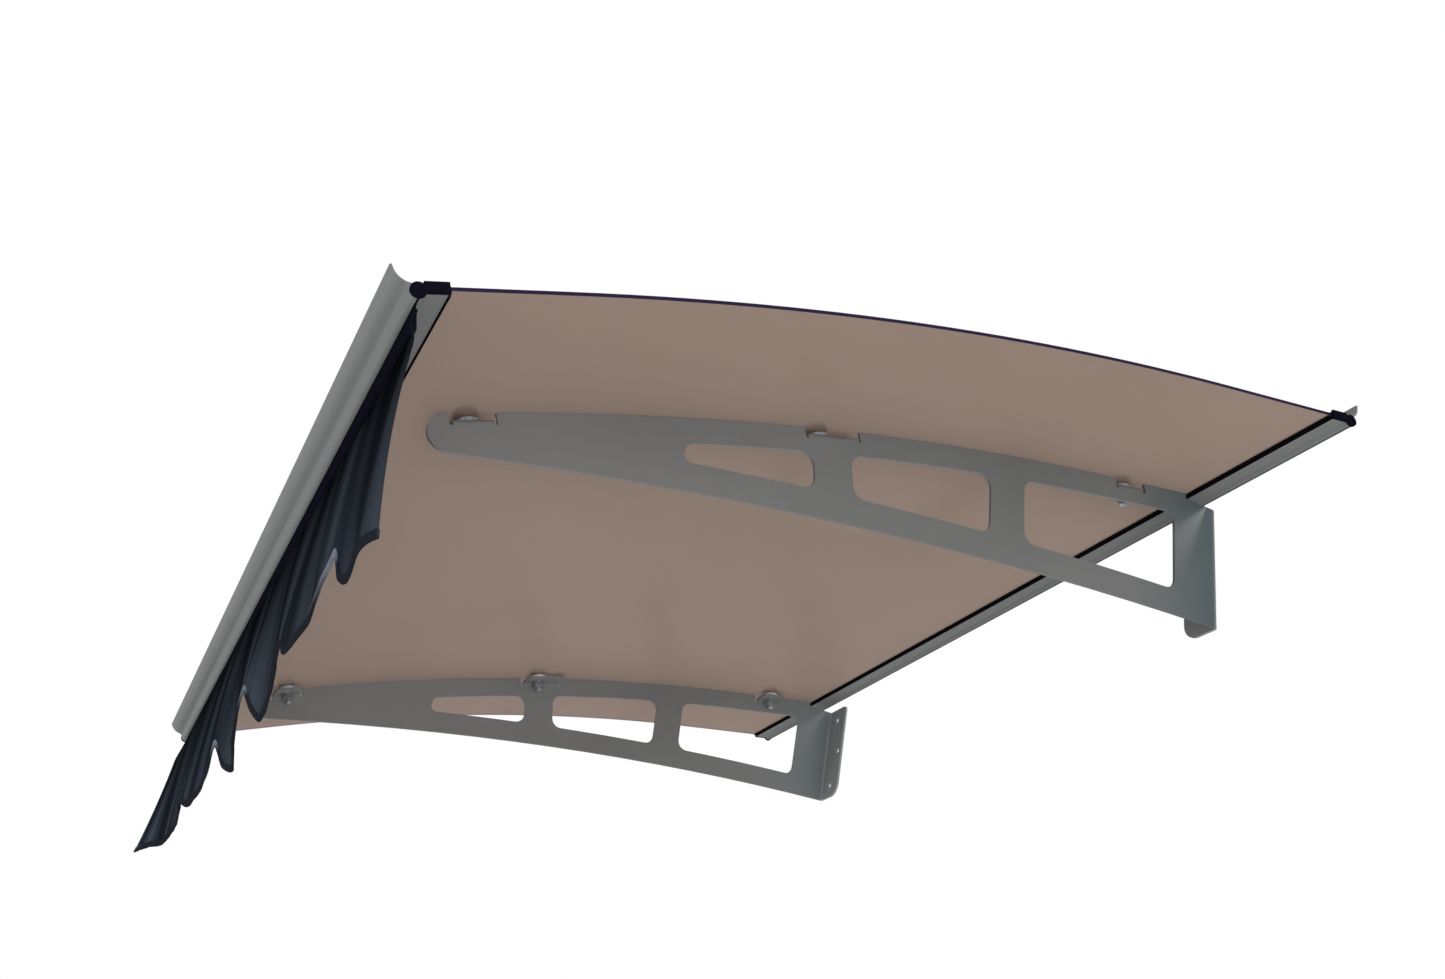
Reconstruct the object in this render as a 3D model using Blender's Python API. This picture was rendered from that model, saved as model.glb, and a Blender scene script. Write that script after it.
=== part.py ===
# Door canopy: an arched polycarbonate panel held along its wall edge and its front edge
# by two lengths of the same aluminium extrusion, carried by two folded sheet brackets,
# with a fabric valance hanging from the front extrusion.
#
# Axes: X runs along the wall, the wall is the plane Y = 0, the canopy reaches out to -Y,
# and Z is up. The origin is the middle of the flat back of the wall profile's lip.
# All sizes are in metres and all angles in degrees.

import math

import bmesh
import bpy
from mathutils import Vector

# Overall
PANEL_WIDTH = 1.200
REACH = 0.897
GAP = 0.0003

# A rounded corner takes at most this share of the shorter side beside it
CORNER_SHARE = 0.49

# Panel: straight by the wall, bent in the middle, straight again by the front
PANEL_THICKNESS = 0.003
WALL_SLOPE = 10.8
FRONT_SLOPE = 23.6
WALL_STRAIGHT = 0.130
FRONT_STRAIGHT = 0.090
PANEL_STEPS = 28

# Edge profile, in its own section: u runs away from the panel, n is square to the panel
JAW_DEPTH = 0.014
JAW_WALL = 0.0015
LOWER_JAW_WALL = 0.0014
JAW_OVERHANG = 0.0005
SEAL_THICKNESS = 0.0010
CHANNEL_U = 0.0215
CHANNEL_N = -0.0012
CHANNEL_RADIUS = 0.0053
CHANNEL_WALL = 0.0015
SLOT_WIDTH = 0.0022
LIP_WALL = 0.0016
LIP_RADIUS = 0.0155
LIP_FLAT = 0.0030
LIP_FILLET = 0.0060
JAW_FILLET = 0.0025

# Rubber seals
WALL_SEAL_LIP = 0.0055
FRONT_SEAL_LIP = 0.0016
SEAL_LIP_HEIGHT = 0.0026
SEAL_LIP_EDGE = 0.0005

# End caps
CAP_THICKNESS = 0.0025
CAP_MARGIN = 0.0006
CAP_RADIUS = 0.0061
CAP_BAR_END = 0.0170
CAP_PLUG_LENGTH = 0.010
CAP_PLUG_CLEARANCE = 0.0004

# Brackets, folded from one sheet each
BRACKET_SPAN = 0.818
SHEET = 0.0030
WALL_TOP_DROP = 0.0078
WALL_HEIGHT = 0.138
PROFILE_CLEARANCE = 0.0070
BOTTOM_RADIUS = 4.130
BOTTOM_WALL_SLOPE = 2.7
NOSE_RADIUS = 0.0174
FLANGE_WIDTH = 0.047
FLANGE_BEND_RADIUS = 0.0050
FLANGE_TOP_CORNER = 0.006
FLANGE_BOTTOM_CORNER = 0.018
FLANGE_HOLE_RADIUS = 0.0042
FLANGE_HOLE_EDGE = 0.018
FLANGE_HOLE_X = 0.024
FLANGE_MIDDLE_HOLE_X = 0.036

# Windows in the bracket plate, between a front end, two leaning posts and the wall post.
# The windows start this far behind the bracket's front end, and end this far from the wall.
WINDOW_TOP_MARGIN = 0.0250
WINDOW_BOTTOM_MARGIN = 0.0275
WINDOW_CORNER = 0.0130
WINDOW_NOSE_CORNER = 0.0100
WINDOW_SETBACK = 0.218
WINDOW_END = 0.0565
POST_WIDTH = 0.039

# The front post's middle behind the start of the windows, the rear post's from the wall
FRONT_POST = 0.1455
FRONT_POST_LEAN = 11.0
REAR_POST = 0.2625
REAR_POST_LEAN = 3.0

# Tabs that carry the panel: the rear hole's distance from the wall, the front hole's
# behind the bracket's front end, and how far the middle one lies in front of half-way
REAR_HOLE = 0.115
FRONT_HOLE_SETBACK = 0.031
MIDDLE_HOLE_OFFSET = 0.0185

# Reach of the rear, middle and front tab along the bracket, before and behind its hole
TAB_REACHES = ((0.016, 0.016), (0.018, 0.035), (0.017, 0.018))
TAB_LENGTH = 0.030
TAB_HOLE_X = 0.0155
TAB_BEND_RADIUS = 0.0045
TAB_CORNER = 0.005
TAB_SLOT = 0.0030
TAB_SLOT_DEPTH = 0.0015

# Panel fixings
SPACER_HEIGHT = 0.0047
SPACER_RADIUS = 0.0108
SPACER_EDGE = 0.0010
BOLT_RADIUS = 0.0040
HOLE_CLEARANCE = 0.0004
HEAD_RADIUS = 0.0112
HEAD_HEIGHT = 0.0062
HEAD_EDGE = 0.0028
PAD_RADIUS = 0.0095
PAD_THICKNESS = 0.0015
WASHER_RADIUS = 0.0080
WASHER_THICKNESS = 0.0016
NUT_FLATS = 0.0130
NUT_HEIGHT = 0.0065
NUT_CHAMFER = 0.0010
BOLT_TIP = 0.0050
BOLT_POINT = 0.0010
RING_STEPS = 18

# Valance: a keder strip in the front channel and the cloth that hangs from it, which stops
# short of each end of the panel. The first lobe of its hem is this far from the +X end,
# and the -X corner swings away from the wall.
KEDER_RADIUS = 0.0033
KEDER_TAIL = 0.0010
KEDER_TAIL_OUT = 0.0095
KEDER_TAIL_DOWN = 0.0125
CLOTH_THICKNESS = 0.0012
CLOTH_END_MARGIN = 0.006
CLOTH_DROP = 0.188
CLOTH_SEAM = 0.012
CLOTH_COLUMNS = 84
CLOTH_ROWS = 9
LOBE_PITCH = 0.1825
FIRST_LOBE = 0.034
LOBE_HEIGHT = 0.055
FOLD_DEPTH = 0.0110
HEM_SET_IN = 0.0080
CORNER_SWING = 0.022
CORNER_LENGTH = 0.300

# Colours as seen, red green blue
GREY_PAINT = (0.140, 0.145, 0.142)
ALUMINIUM = (0.165, 0.168, 0.170)
BRONZE_PANEL = (0.266, 0.202, 0.168)
BLACK_RUBBER = (0.010, 0.010, 0.012)
ZINC = (0.320, 0.330, 0.345)
LIGHT_PLASTIC = (0.230, 0.232, 0.240)
NAVY_CLOTH = (0.012, 0.013, 0.022)


def remove_everything():
    for obj in list(bpy.data.objects):
        bpy.data.objects.remove(obj)


def make_material(name, colour, roughness, metallic=0.0):
    material = bpy.data.materials.new(name)
    material.use_nodes = True
    shader = material.node_tree.nodes["Principled BSDF"]
    shader.inputs["Base Color"].default_value = (*colour, 1.0)
    shader.inputs["Roughness"].default_value = roughness
    shader.inputs["Metallic"].default_value = metallic
    material.diffuse_color = (*colour, 1.0)
    return material


def finish_object(name, bm, material, smooth_angle=30.0):
    bmesh.ops.recalc_face_normals(bm, faces=bm.faces)
    mesh = bpy.data.meshes.new(name)
    bm.to_mesh(mesh)
    bm.free()
    mesh.shade_smooth()
    mesh.set_sharp_from_angle(angle=math.radians(smooth_angle))
    obj = bpy.data.objects.new(name, mesh)
    bpy.context.scene.collection.objects.link(obj)
    if material:
        mesh.materials.append(material)
    return obj


def make_cutter(name, bm):
    cutter = finish_object(name, bm, None)
    cutter.hide_render = True
    cutter.display_type = "WIRE"
    return cutter


def add_boolean(obj, other, operation):
    modifier = obj.modifiers.new(operation.title(), "BOOLEAN")
    modifier.operation = operation
    modifier.solver = "EXACT"
    modifier.object = other


def arc(centre, radius, start, end, steps):
    """Points of an arc from one angle to another, both ends included."""
    points = []
    for i in range(steps + 1):
        angle = math.radians(start + (end - start) * i / steps)
        points.append((centre[0] + radius * math.cos(angle), centre[1] + radius * math.sin(angle)))
    return points


def angle_of(vector):
    return math.degrees(math.atan2(vector[1], vector[0]))


def bisect(function, low, high):
    """The place between low and high where the function changes sign."""
    sign = function(low) > 0
    for _ in range(60):
        middle = (low + high) / 2
        if (function(middle) > 0) == sign:
            low = middle
        else:
            high = middle
    return (low + high) / 2


def rounded(points, steps=6):
    """A closed outline whose corners, given as (y, z, radius), are turned into arcs."""
    result = []
    count = len(points)
    for i, (y, z, radius) in enumerate(points):
        if not radius:
            result.append((y, z))
            continue
        corner = Vector((y, z))
        before = Vector(points[i - 1][:2]) - corner
        after = Vector(points[(i + 1) % count][:2]) - corner
        half = before.angle(after) / 2
        shorter = min(before.length, after.length)
        radius = min(radius, CORNER_SHARE * shorter * math.tan(half))
        before.normalize()
        after.normalize()
        centre = corner + (before + after).normalized() * (radius / math.sin(half))
        start = corner + before * (radius / math.tan(half)) - centre
        end = corner + after * (radius / math.tan(half)) - centre
        turn = math.degrees(start.angle_signed(end))
        first = angle_of(start)
        result += arc(centre, radius, first, first - turn, steps)
    return result


# The profile's section

def lip_turn():
    """The lip turns until it stands upright on the wall profile."""
    return 90.0 - WALL_SLOPE


def lip_centre():
    return CHANNEL_U, PANEL_THICKNESS + GAP + JAW_WALL - LIP_WALL / 2 + LIP_RADIUS


def lip_end(radius, along):
    """A point of the lip's straight end, at this radius and this far up the flat."""
    centre = lip_centre()
    angle = math.radians(lip_turn() - 90.0)
    u = centre[0] + radius * math.cos(angle) - along * math.sin(angle)
    n = centre[1] + radius * math.sin(angle) + along * math.cos(angle)
    return u, n


def profile_section():
    """The extrusion: two jaws round the panel's edge, a slotted channel and a curved lip."""
    top = PANEL_THICKNESS + GAP + JAW_WALL
    seal_floor = -(2 * GAP + SEAL_THICKNESS)
    bottom = seal_floor - LOWER_JAW_WALL
    channel = (CHANNEL_U, CHANNEL_N)
    inner = CHANNEL_RADIUS - CHANNEL_WALL
    outer_lip = LIP_RADIUS + LIP_WALL / 2
    inner_lip = LIP_RADIUS - LIP_WALL / 2
    centre = lip_centre()
    turn_end = lip_turn() - 90.0
    distance = centre[1] - CHANNEL_N
    to_lip = outer_lip + LIP_FILLET
    to_channel = CHANNEL_RADIUS + LIP_FILLET
    along = (to_lip**2 - to_channel**2 + distance**2) / (2 * distance)
    across = math.sqrt(to_lip**2 - along**2)
    lip_fillet = (centre[0] + across, centre[1] - along)
    lip_meets = angle_of((across, -along))
    channel_meets = angle_of((across, distance - along))
    jaw_drop = bottom - JAW_FILLET - CHANNEL_N
    jaw_across = math.sqrt((CHANNEL_RADIUS + JAW_FILLET)**2 - jaw_drop**2)
    jaw_fillet = (CHANNEL_U - jaw_across, bottom - JAW_FILLET)
    jaw_meets = -180.0 + math.degrees(math.atan2(-jaw_drop, jaw_across))
    slot_outer = math.degrees(math.asin(SLOT_WIDTH / 2 / CHANNEL_RADIUS))
    slot_inner = math.degrees(math.asin(SLOT_WIDTH / 2 / inner))
    points = [(-JAW_OVERHANG, top - JAW_WALL), (-JAW_OVERHANG, top)]
    points += arc(centre, inner_lip, -90.0, turn_end, 9)
    points += [lip_end(inner_lip, LIP_FLAT), lip_end(outer_lip, LIP_FLAT)]
    points += arc(centre, outer_lip, turn_end, lip_meets, 8)
    points += arc(lip_fillet, LIP_FILLET, lip_meets + 180.0, channel_meets + 180.0, 4)[1:]
    points += arc(channel, CHANNEL_RADIUS, channel_meets, -90.0 + slot_outer, 8)[1:]
    points += arc(channel, inner, -90.0 + slot_inner, 270.0 - slot_inner, 20)
    points += arc(channel, CHANNEL_RADIUS, -90.0 - slot_outer, jaw_meets, 3)
    points += arc(jaw_fillet, JAW_FILLET, jaw_meets + 180.0, 90.0, 3)[1:]
    points += [(0.0, bottom), (0.0, seal_floor)]
    points += [(JAW_DEPTH, seal_floor), (JAW_DEPTH, top - JAW_WALL)]
    return points


def seal_section(lip):
    """A flat strip in the jaw with a wedge-shaped lip against the panel outside it."""
    strip_bottom = -GAP - SEAL_THICKNESS
    lip_start = -GAP
    return [
        (-lip, -GAP),
        (JAW_DEPTH - GAP, -GAP),
        (JAW_DEPTH - GAP, strip_bottom),
        (lip_start, strip_bottom),
        (lip_start, -GAP - SEAL_LIP_HEIGHT),
        (-lip, -GAP - SEAL_LIP_EDGE),
    ]


def cap_section():
    """The end cap's outline: a bar over the jaws and a disc over the channel."""
    top = PANEL_THICKNESS + GAP + JAW_WALL + CAP_MARGIN
    bottom = -(2 * GAP + SEAL_THICKNESS + LOWER_JAW_WALL) - CAP_MARGIN
    start = -JAW_OVERHANG - CAP_MARGIN
    first = 180.0 - math.degrees(math.acos((CHANNEL_U - CAP_BAR_END) / CAP_RADIUS))
    last = -180.0 - math.degrees(math.asin((bottom - CHANNEL_N) / CAP_RADIUS))
    points = [(start, bottom), (start, top), (CAP_BAR_END, top)]
    return points + arc((CHANNEL_U, CHANNEL_N), CAP_RADIUS, first, last, 20)


# The panel's line, from the wall jaw's mouth to the front jaw's mouth

def section_to_world(point, origin, slope, outwards):
    """Turns a section point into (y, z). The wall profile's section is the mirror image."""
    a = math.radians(slope)
    u = point[0] if outwards else -point[0]
    return (
        origin[0] - u * math.cos(a) - point[1] * math.sin(a),
        origin[1] - u * math.sin(a) + point[1] * math.cos(a),
    )


def wall_mouth():
    """The wall jaw's mouth, placed so that the middle of the lip's flat back is the origin."""
    back = lip_end(LIP_RADIUS + LIP_WALL / 2, LIP_FLAT / 2)
    y, z = section_to_world(back, (0.0, 0.0), WALL_SLOPE, False)
    return -y, -z


def panel_radius():
    """The bend radius that brings the front lip's tip to the reach."""
    tips = [lip_end(LIP_RADIUS + side * LIP_WALL / 2, LIP_FLAT) for side in (-1, 1)]
    lip_reach = min(section_to_world(tip, (0.0, 0.0), FRONT_SLOPE, True)[0] for tip in tips)
    front_mouth_y = -REACH - lip_reach
    wall, front = math.radians(WALL_SLOPE), math.radians(FRONT_SLOPE)
    span = wall_mouth()[0] - front_mouth_y
    span -= WALL_STRAIGHT * math.cos(wall) + FRONT_STRAIGHT * math.cos(front)
    return span / (math.sin(front) - math.sin(wall))


def panel_length():
    return WALL_STRAIGHT + panel_radius() * math.radians(FRONT_SLOPE - WALL_SLOPE) + FRONT_STRAIGHT


def panel_at(s):
    """(y, z, slope) of the panel's underside at a distance s along it from the wall jaw."""
    radius = panel_radius()
    y, z = wall_mouth()
    wall = math.radians(WALL_SLOPE)
    straight = min(s, WALL_STRAIGHT)
    y -= straight * math.cos(wall)
    z -= straight * math.sin(wall)
    if s <= WALL_STRAIGHT:
        return y, z, WALL_SLOPE
    bend = min((s - WALL_STRAIGHT) / radius, math.radians(FRONT_SLOPE - WALL_SLOPE))
    a = wall + bend
    y -= radius * (math.sin(a) - math.sin(wall))
    z -= radius * (math.cos(wall) - math.cos(a))
    rest = s - WALL_STRAIGHT - radius * bend
    if rest > 0:
        y -= rest * math.cos(a)
        z -= rest * math.sin(a)
    return y, z, math.degrees(a)


def panel_offset(s, height):
    """(y, z) of a point that stands off the underside by a height."""
    y, z, slope = panel_at(s)
    a = math.radians(slope)
    return y - height * math.sin(a), z + height * math.cos(a)


def station_at(y, height=0.0):
    """The distance along the panel at which a line at this height off it reaches y."""
    return bisect(lambda s: panel_offset(s, height)[0] - y, -JAW_DEPTH, panel_length() + JAW_DEPTH)


def panel_stations():
    """Stations for the panel's own mesh: close together where it bends."""
    end = panel_length() + JAW_DEPTH - GAP
    bent = panel_length() - FRONT_STRAIGHT - WALL_STRAIGHT
    middle = [WALL_STRAIGHT + bent * i / PANEL_STEPS for i in range(PANEL_STEPS + 1)]
    return [-JAW_DEPTH + GAP] + middle + [end]


def prism(outline, start, end):
    """A solid of this (y, z) outline between two places along X."""
    bm = bmesh.new()
    face = bm.faces.new([bm.verts.new((start, y, z)) for y, z in outline])
    pushed = bmesh.ops.extrude_face_region(bm, geom=[face])["geom"]
    moved = [v for v in pushed if isinstance(v, bmesh.types.BMVert)]
    bmesh.ops.translate(bm, verts=moved, vec=(end - start, 0.0, 0.0))
    return bm


def make_panel(material):
    under = [panel_offset(s, 0.0) for s in panel_stations()]
    over = [panel_offset(s, PANEL_THICKNESS) for s in panel_stations()]
    bm = bmesh.new()
    half = PANEL_WIDTH / 2
    rings = []
    for low, high in zip(under, over):
        ring = [bm.verts.new(p) for p in ((-half, *low), (half, *low), (half, *high), (-half, *high))]
        rings.append(ring)
    bm.faces.new(rings[0])
    bm.faces.new(rings[-1])
    for near, far in zip(rings, rings[1:]):
        for i in range(4):
            bm.faces.new((near[i], near[(i + 1) % 4], far[(i + 1) % 4], far[i]))
    panel = finish_object("canopy_panel", bm, material)
    for place in fixing_places():
        reach = 2 * (PANEL_THICKNESS + SPACER_HEIGHT)
        bm = turned([(0.0, -reach), (hole_radius(), -reach), (hole_radius(), reach), (0.0, reach)])
        cutter = make_cutter("panel_hole_" + place[0], bm)
        place_on_panel(cutter, place)
        add_boolean(panel, cutter, "DIFFERENCE")
    return panel


# Profiles, seals and end caps

def edge_frames():
    """Name, mouth, slope and direction of the two edges."""
    y, z, slope = panel_at(panel_length())
    return (
        ("wall", wall_mouth(), WALL_SLOPE, False, WALL_SEAL_LIP),
        ("front", (y, z), slope, True, FRONT_SEAL_LIP),
    )


def make_edges(metal, rubber, plastic):
    half = PANEL_WIDTH / 2
    for name, mouth, slope, outwards, lip in edge_frames():
        def world(points, mouth=mouth, slope=slope, outwards=outwards):
            return [section_to_world(p, mouth, slope, outwards) for p in points]

        finish_object(name + "_profile", prism(world(profile_section()), -half, half), metal, 40.0)
        finish_object(name + "_seal", prism(world(seal_section(lip)), -half, half), rubber)
        for side, start in (("left", -half - GAP), ("right", half + GAP)):
            sign = math.copysign(1.0, start)
            bm = prism(world(cap_section()), start, start + sign * CAP_THICKNESS)
            cap = finish_object(name + "_end_cap_" + side, bm, plastic)
            y, z = world([(CHANNEL_U, CHANNEL_N)])[0]
            radius = CHANNEL_RADIUS - CHANNEL_WALL - CAP_PLUG_CLEARANCE
            plug = prism(
                arc((y, z), radius, 0.0, 345.0, 23),
                start + sign * CAP_THICKNESS / 2,
                start - sign * (GAP + CAP_PLUG_LENGTH),
            )
            plug_object = make_cutter(name + "_cap_plug_" + side, plug)
            add_boolean(cap, plug_object, "UNION")


# Brackets

def bottom_centre():
    """Centre of the bottom edge's arc, which starts at the wall."""
    a = math.radians(BOTTOM_WALL_SLOPE)
    return BOTTOM_RADIUS * math.sin(a), wall_top() - WALL_HEIGHT - BOTTOM_RADIUS * math.cos(a)


def wall_top():
    return wall_mouth()[1] - WALL_TOP_DROP


def bottom_at(y, margin=0.0):
    """A point of the bottom edge, or of the line that runs a margin above it."""
    centre = bottom_centre()
    radius = BOTTOM_RADIUS + margin
    return y, centre[1] + math.sqrt(radius**2 - (y - centre[0])**2)


def nose():
    """Centre and radius of the round front end, which touches the top and bottom edges."""
    centre = Vector(bottom_centre())

    def apart(s):
        point = Vector(panel_offset(s, -GAP - NOSE_RADIUS))
        return (point - centre).length - BOTTOM_RADIUS - NOSE_RADIUS

    s = bisect(apart, 0.0, panel_length())
    return s, Vector(panel_offset(s, -GAP - NOSE_RADIUS))


def front_end():
    """How far the bracket's front end stands from the wall."""
    return NOSE_RADIUS - nose()[1].x


def tab_frame(hole):
    """Station, foot on the panel's underside and the two directions of a tab."""
    s = station_at(-hole[0])
    y, z, slope = panel_at(s)
    a = math.radians(slope)
    outwards = Vector((-math.cos(a), -math.sin(a)))
    square = Vector((-math.sin(a), math.cos(a)))
    return s, Vector((y, z)), outwards, square


def tab_levels():
    """Heights under the panel of the tab's top face and of its bend line."""
    top = -(2 * GAP + SPACER_HEIGHT)
    return top, top - TAB_BEND_RADIUS


def tab_holes():
    """Each hole's distance from the wall and its tab's two reaches, from the rear one on."""
    front = front_end() - FRONT_HOLE_SETBACK
    middle = (REAR_HOLE + front) / 2 + MIDDLE_HOLE_OFFSET
    return [(place, *reach) for place, reach in zip((REAR_HOLE, middle, front), TAB_REACHES)]


def plate_outline():
    """The plate's edge, and for each tab the two outline points between which it bends."""
    points = [(-FLANGE_BEND_RADIUS, wall_top(), 0.0)]
    step_y = wall_mouth()[0] - PROFILE_CLEARANCE
    points.append((step_y, wall_top(), 0.0))
    s = station_at(step_y, -GAP)
    points.append((*panel_offset(s, -GAP), 0.0))
    tabs = []
    bend_level = tab_levels()[1]
    slot_level = bend_level - TAB_SLOT_DEPTH
    nose_station, nose_centre = nose()
    for hole in tab_holes():
        station, foot, outwards, square = tab_frame(hole)
        start = station - hole[2] - TAB_SLOT
        for i in range(1, 6):
            points.append((*panel_offset(s + (start - s) * i / 6, -GAP), 0.0))

        def corner(along, height, foot=foot, outwards=outwards, square=square):
            p = foot + outwards * along + square * height
            return p.x, p.y, 0.0

        points.append((*panel_offset(start, -GAP), 0.0))
        points.append(corner(-hole[2] - TAB_SLOT, slot_level))
        points.append(corner(-hole[2], slot_level))
        tabs.append(len(points))
        points.append(corner(-hole[2], bend_level))
        points.append(corner(hole[1], bend_level))
        points.append(corner(hole[1], slot_level))
        points.append(corner(hole[1] + TAB_SLOT, slot_level))
        s = min(station + hole[1] + TAB_SLOT, nose_station)
        points.append((*panel_offset(s, -GAP), 0.0))
    first = angle_of(Vector(panel_offset(nose_station, -GAP)) - nose_centre)
    last = angle_of(Vector(bottom_centre()) - nose_centre) % 360.0
    points += [(y, z, 0.0) for y, z in arc(nose_centre, NOSE_RADIUS, first, last, 12)]
    nose_foot = points[-1][0]
    for i in range(1, 16):
        points.append((*bottom_at(nose_foot + (-FLANGE_BEND_RADIUS - nose_foot) * i / 15), 0.0))
    return [p[:2] for p in points], tabs


def post_line(distance, lean, height):
    """A leaning line through the middle of the plate, as a point and a direction."""
    a = math.radians(lean)
    return Vector((-distance, height)), Vector((-math.sin(a), math.cos(a)))


def window_outline(front, rear, front_corner):
    """A window between two leaning lines, the top margin and the bottom margin."""
    corners = []
    for distance, lean in (front, rear):
        top = panel_offset(station_at(-distance), -WINDOW_TOP_MARGIN)[1]
        low = bottom_at(-distance, WINDOW_BOTTOM_MARGIN)[1]
        point, direction = post_line(distance, lean, (top + low) / 2)

        def beside_top(s, point=point, direction=direction):
            return direction.cross(Vector(panel_offset(s, -WINDOW_TOP_MARGIN)) - point)

        def beside_bottom(y, point=point, direction=direction):
            return direction.cross(Vector(bottom_at(y, WINDOW_BOTTOM_MARGIN)) - point)

        s = bisect(beside_top, 0.0, panel_length())
        y = bisect(beside_bottom, -REACH, 0.0)
        corners.append((s, y))
    (front_s, front_y), (rear_s, rear_y) = corners
    points = [(*panel_offset(rear_s, -WINDOW_TOP_MARGIN), WINDOW_CORNER)]
    for i in range(1, 4):
        s = rear_s + (front_s - rear_s) * i / 4
        points.append((*panel_offset(s, -WINDOW_TOP_MARGIN), 0.0))
    points.append((*panel_offset(front_s, -WINDOW_TOP_MARGIN), front_corner))
    points.append((*bottom_at(front_y, WINDOW_BOTTOM_MARGIN), front_corner))
    for i in range(1, 4):
        points.append((*bottom_at(front_y + (rear_y - front_y) * i / 4, WINDOW_BOTTOM_MARGIN), 0.0))
    points.append((*bottom_at(rear_y, WINDOW_BOTTOM_MARGIN), WINDOW_CORNER))
    return rounded(points)


def windows():
    half = POST_WIDTH / 2
    start = front_end() - WINDOW_SETBACK
    post = start - FRONT_POST
    return (
        window_outline((start, 0.0), (post + half, FRONT_POST_LEAN), WINDOW_NOSE_CORNER),
        window_outline((post - half, FRONT_POST_LEAN), (REAR_POST + half, REAR_POST_LEAN), WINDOW_CORNER),
        window_outline((REAR_POST - half, REAR_POST_LEAN), (WINDOW_END, 0.0), WINDOW_CORNER),
    )


def loop_edges(bm, verts):
    pairs = zip(verts, verts[1:] + verts[:1])
    return [bm.edges.get(pair) or bm.edges.new(pair) for pair in pairs]


def fold_flap(bm, first, last, outwards, inwards, radius, length, corners, holes):
    """Bends a flap off the edge between two vertices and fills its flat part round its holes.

    Holes are (place along the edge from first, distance from the plate's face, radius)."""
    edge = bm.edges.get((first, last)) or bm.edges.new((first, last))
    along = (last.co - first.co).normalized()
    width = (last.co - first.co).length
    corner_of = first.co.copy()
    axis = inwards.cross(outwards).normalized()
    spun = bmesh.ops.spin(
        bm, geom=[edge], cent=first.co + inwards * radius, axis=axis,
        angle=-math.pi / 2, steps=6, use_duplicate=False,
    )
    ends = [v for v in spun["geom_last"] if isinstance(v, bmesh.types.BMVert)]
    ends.sort(key=lambda v: (v.co - first.co).dot(along))
    base = corner_of + outwards * radius + inwards * radius
    flat = length - radius

    def place(a, d):
        return base + along * a + inwards * d

    start_corner, end_corner = corners
    outline = rounded([(0.0, 0.0, 0.0), (width, 0.0, 0.0), (width, flat, end_corner),
                       (0.0, flat, start_corner)])
    verts = [ends[0], ends[1]] + [bm.verts.new(place(a, d)) for a, d in outline[2:]]
    edges = loop_edges(bm, verts)
    for a, d, hole in holes:
        ring = [bm.verts.new(place(*p)) for p in arc((a, d - radius), hole, 0.0, 342.0, 19)]
        edges += loop_edges(bm, ring)
    bmesh.ops.triangle_fill(bm, use_beauty=True, edges=edges)


def make_bracket(name, side, material):
    """One bracket, drawn as its outer face, folded, then given the sheet's thickness."""
    x = side * BRACKET_SPAN / 2
    inwards = Vector((-side, 0.0, 0.0))
    bm = bmesh.new()
    outline, tabs = plate_outline()
    verts = [bm.verts.new((x, y, z)) for y, z in outline]
    edges = loop_edges(bm, verts)
    for window in windows():
        edges += loop_edges(bm, [bm.verts.new((x, y, z)) for y, z in window])
    bmesh.ops.triangle_fill(bm, use_beauty=True, edges=edges)
    height = (verts[-1].co - verts[0].co).length
    fold_flap(
        bm, verts[-1], verts[0], Vector((0.0, 1.0, 0.0)), inwards,
        FLANGE_BEND_RADIUS, FLANGE_WIDTH, (FLANGE_BOTTOM_CORNER, FLANGE_TOP_CORNER),
        (
            (FLANGE_HOLE_EDGE, FLANGE_HOLE_X, FLANGE_HOLE_RADIUS),
            (height / 2, FLANGE_MIDDLE_HOLE_X, FLANGE_HOLE_RADIUS),
            (height - FLANGE_HOLE_EDGE, FLANGE_HOLE_X, FLANGE_HOLE_RADIUS),
        ),
    )
    for start, hole in zip(tabs, tab_holes()):
        square = tab_frame(hole)[3]
        fold_flap(
            bm, verts[start], verts[start + 1], Vector((0.0, square.x, square.y)), inwards,
            TAB_BEND_RADIUS, TAB_LENGTH, (TAB_CORNER, TAB_CORNER),
            ((hole[2], TAB_HOLE_X, hole_radius()),),
        )
    bmesh.ops.remove_doubles(bm, verts=bm.verts, dist=1e-6)
    bracket = finish_object(name, bm, material, 40.0)
    plate_normal = max(bracket.data.polygons, key=lambda p: p.area * abs(p.normal.x)).normal.x
    thickness = bracket.modifiers.new("Sheet", "SOLIDIFY")
    thickness.thickness = SHEET
    thickness.offset = -1.0 if plate_normal * side > 0 else 1.0
    thickness.use_even_offset = True
    return bracket


# Fixings

def hole_radius():
    return BOLT_RADIUS + HOLE_CLEARANCE


def fixing_places():
    """Name, x, y, z and slope of each fixing, on the panel's underside."""
    places = []
    for side_name, side in (("left", -1), ("right", 1)):
        for place_name, hole in zip(("rear", "middle", "front"), tab_holes()):
            y, z, slope = panel_at(tab_frame(hole)[0])
            x = side * (BRACKET_SPAN / 2 - TAB_HOLE_X)
            places.append((side_name + "_" + place_name, x, y, z, slope))
    return places


def place_on_panel(obj, place):
    obj.location = place[1:4]
    obj.rotation_euler = (math.radians(place[4]), 0.0, 0.0)


def turned(profile):
    """A solid turned about Z from an (r, z) line that starts and ends on the axis."""
    bm = bmesh.new()
    verts = [bm.verts.new((r, 0.0, z)) for r, z in profile]
    edges = [bm.edges.new(pair) for pair in zip(verts, verts[1:])]
    bmesh.ops.spin(
        bm, geom=edges, cent=(0, 0, 0), axis=(0, 0, 1), angle=2 * math.pi,
        steps=RING_STEPS, use_merge=True, use_duplicate=False,
    )
    bmesh.ops.remove_doubles(bm, verts=bm.verts, dist=1e-6)
    return bm


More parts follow.
